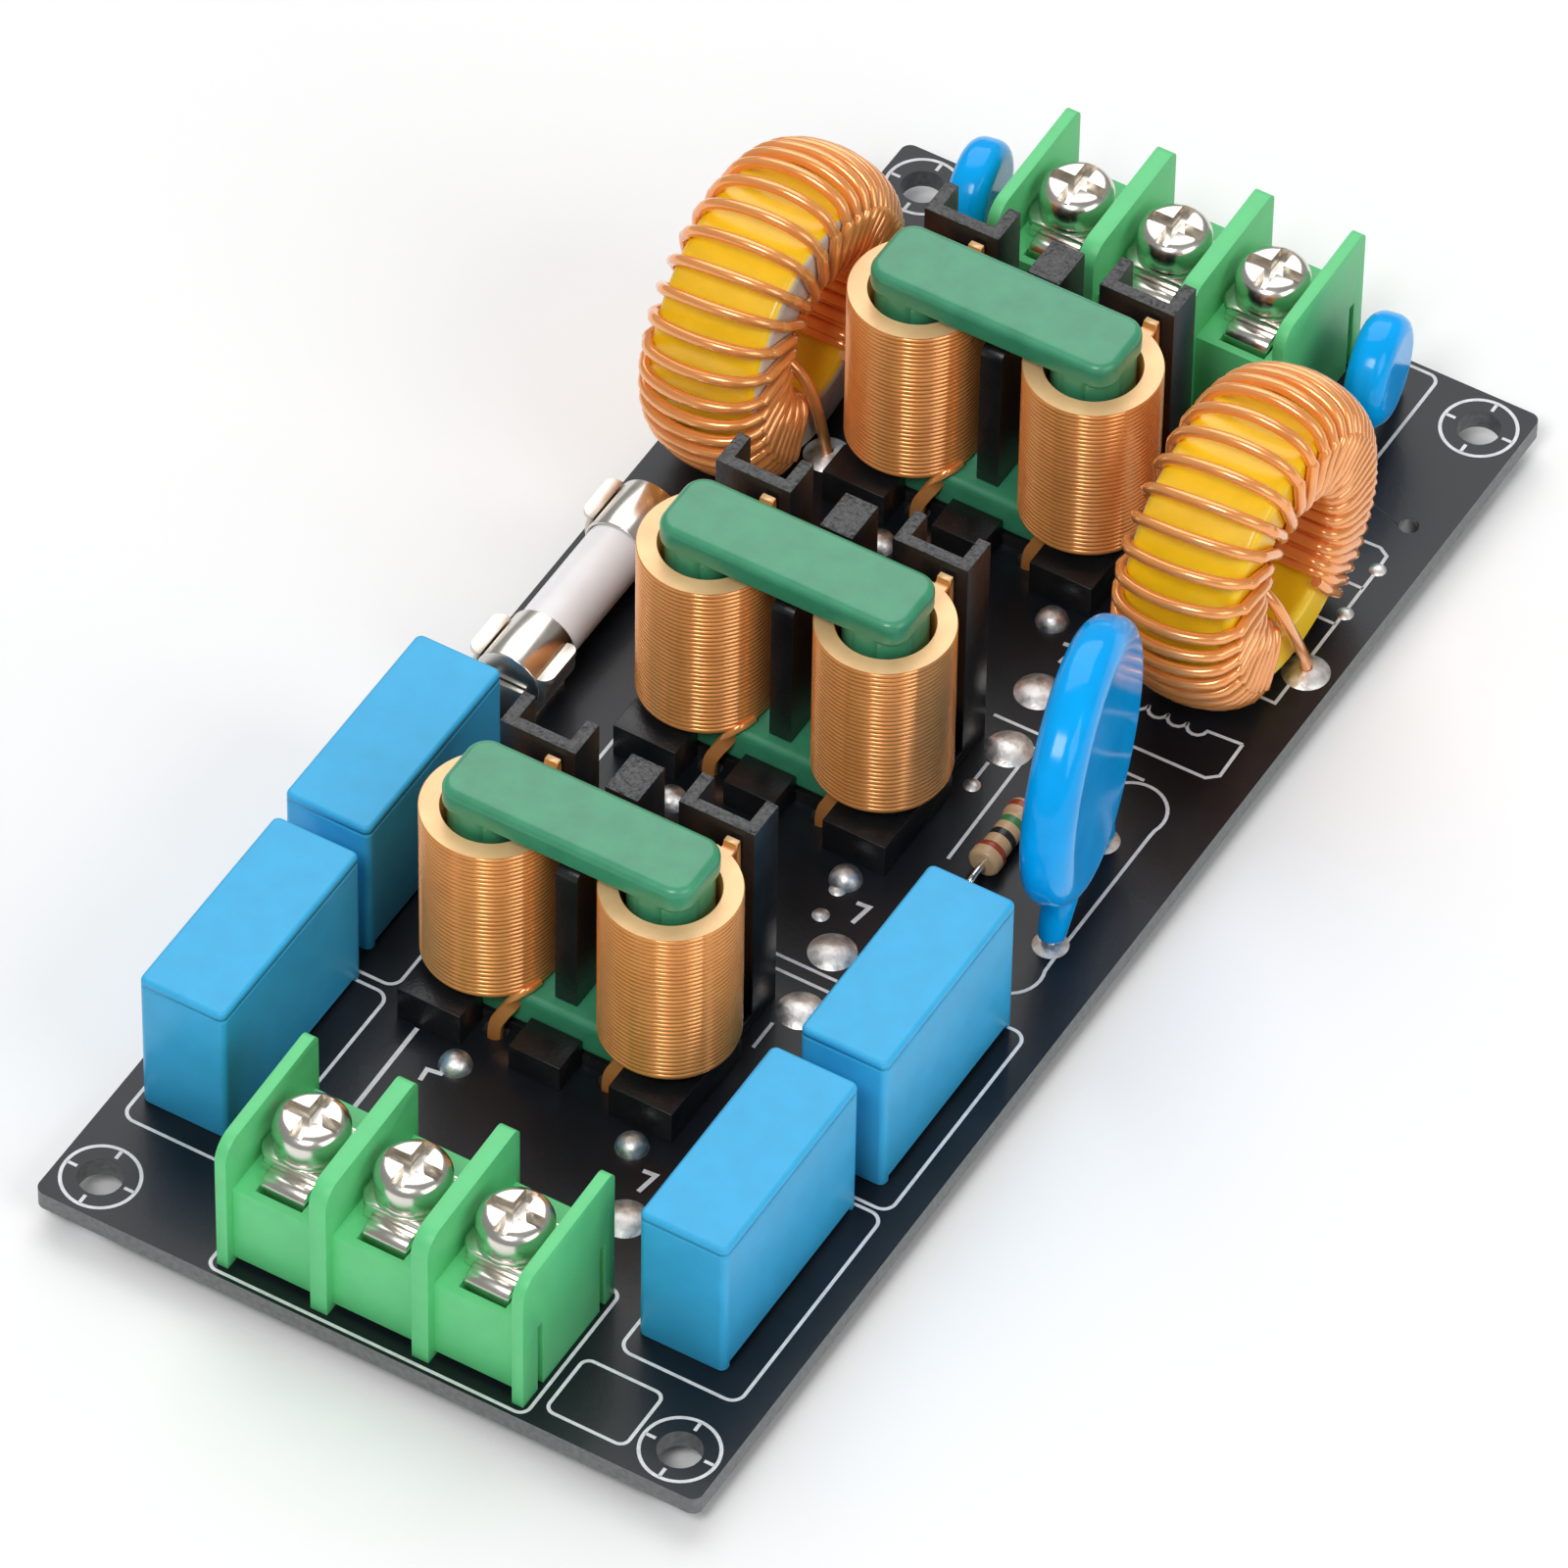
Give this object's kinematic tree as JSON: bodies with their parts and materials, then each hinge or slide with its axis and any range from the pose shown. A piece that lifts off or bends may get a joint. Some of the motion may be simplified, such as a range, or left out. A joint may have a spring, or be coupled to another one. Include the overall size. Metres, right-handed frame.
{
  "type": "power line filter",
  "caption": "Open-frame mains filter board with wound chokes, box film capacitors, toroidal inductors, a varistor, a cartridge fuse and barrier terminals at both ends.",
  "frame": {"origin": "middle of the four mounting holes, on the underside of the board", "axes": "+Z out of the component side; +Y along the long edge, from the terminal block beside the fuse's front end to the one beside the toroids; +X along the short edge, from the fuse towards the varistor"},
  "size_m": [0.054, 0.12, 0.028],
  "materials": {
    "board_laminate": "glossy dark solder mask over glass laminate",
    "solder": "bright tin solder",
    "terminal_plastic": "moulded light green",
    "nickel_contact": "nickel-plated brass",
    "nickel_screw": "nickel-plated steel",
    "film_case_plastic": "moulded sky blue",
    "tinned_lead": "tinned copper",
    "choke_base_plastic": "moulded black",
    "choke_core_coating": "green coating over ferrite",
    "choke_wire": "enamelled flat copper wire",
    "toroid_core_coating": "yellow coating over powdered iron",
    "toroid_wire": "enamelled round copper wire",
    "varistor_coating": "glossy azure epoxy",
    "disc_coating": "glossy blue epoxy",
    "fuse_ceramic": "white ceramic",
    "nickel_cap": "nickel-plated brass",
    "resistor_coating": "beige lacquer with colour bands"
  },
  "bodies": {
    "root": {"circuit_board": "board_laminate", "solder_cones": "solder", "solder_domes": "solder", "front_terminal_housing": "terminal_plastic", "front_contact_1": "nickel_contact", "front_clamp_washers_1": "nickel_screw", "front_terminal_screw_1": "nickel_screw", "front_contact_2": "nickel_contact", "front_clamp_washers_2": "nickel_screw", "front_terminal_screw_2": "nickel_screw", "front_contact_3": "nickel_contact", "front_clamp_washers_3": "nickel_screw", "front_terminal_screw_3": "nickel_screw", "rear_terminal_housing": "terminal_plastic", "rear_contact_1": "nickel_contact", "rear_clamp_washers_1": "nickel_screw", "rear_terminal_screw_1": "nickel_screw", "rear_contact_2": "nickel_contact", "rear_clamp_washers_2": "nickel_screw", "rear_terminal_screw_2": "nickel_screw", "rear_contact_3": "nickel_contact", "rear_clamp_washers_3": "nickel_screw", "rear_terminal_screw_3": "nickel_screw", "left_front_film_case": "film_case_plastic", "left_front_film_leads": "tinned_lead", "left_rear_film_case": "film_case_plastic", "left_rear_film_leads": "tinned_lead", "right_front_film_case": "film_case_plastic", "right_front_film_leads": "tinned_lead", "right_rear_film_case": "film_case_plastic", "right_rear_film_leads": "tinned_lead", "front_choke_base": "choke_base_plastic", "front_choke_core": "choke_core_coating", "front_choke_left_coil": "choke_wire", "front_choke_right_coil": "choke_wire", "middle_choke_base": "choke_base_plastic", "middle_choke_core": "choke_core_coating", "middle_choke_left_coil": "choke_wire", "middle_choke_right_coil": "choke_wire", "rear_choke_base": "choke_base_plastic", "rear_choke_core": "choke_core_coating", "rear_choke_left_coil": "choke_wire", "rear_choke_right_coil": "choke_wire", "left_toroid_ring": "toroid_core_coating", "left_toroid_winding": "toroid_wire", "right_toroid_ring": "toroid_core_coating", "right_toroid_winding": "toroid_wire", "varistor_body": "varistor_coating", "varistor_leads": "tinned_lead", "left_disc_body": "disc_coating", "left_disc_leads": "tinned_lead", "right_disc_body": "disc_coating", "right_disc_leads": "tinned_lead", "fuse_tube": "fuse_ceramic", "fuse_end_caps": "nickel_cap", "fuse_front_clip": "nickel_cap", "fuse_rear_clip": "nickel_cap", "resistor_body": "resistor_coating", "resistor_leads": "tinned_lead"}
  },
  "joints": []
}
